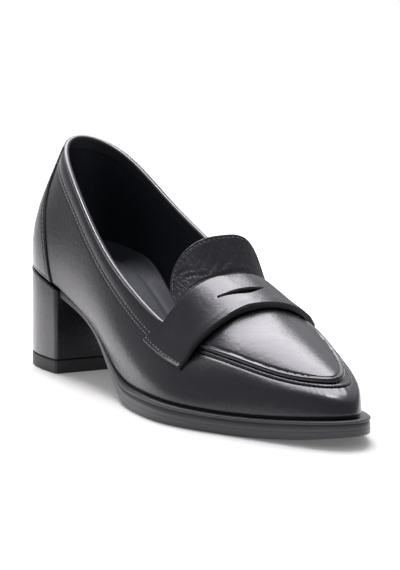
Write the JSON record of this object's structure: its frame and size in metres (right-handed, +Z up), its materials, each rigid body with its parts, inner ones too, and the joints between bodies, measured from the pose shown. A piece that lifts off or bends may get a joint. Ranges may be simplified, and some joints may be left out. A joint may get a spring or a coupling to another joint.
{
  "type": "heeled penny loafer",
  "caption": "Slip-on leather shoe with an almond toe, raised apron seam, saddle strap with an eye-shaped slot, short tongue and a square block heel; open at the collar.",
  "frame": {"origin": "on the floor, under the middle of the shoe's box", "axes": "+X towards the toe, +Y towards the shoe's inner side, +Z up"},
  "size_m": [0.246, 0.0774, 0.1038],
  "materials": {
    "upper": "polished black smooth leather, semi-gloss",
    "sole": "black satin edge",
    "heel": "leather-covered block, satin black",
    "lift": "matt black",
    "sock": "blue-black lining leather, satin"
  },
  "bodies": {
    "root": {"outsole": "sole", "heel_block": "heel", "top_lift": "lift", "insole": "sock", "upper": "upper", "apron": "upper", "seam_bead": "upper", "counter": "upper", "strap": "upper", "tongue": "upper"}
  },
  "joints": []
}
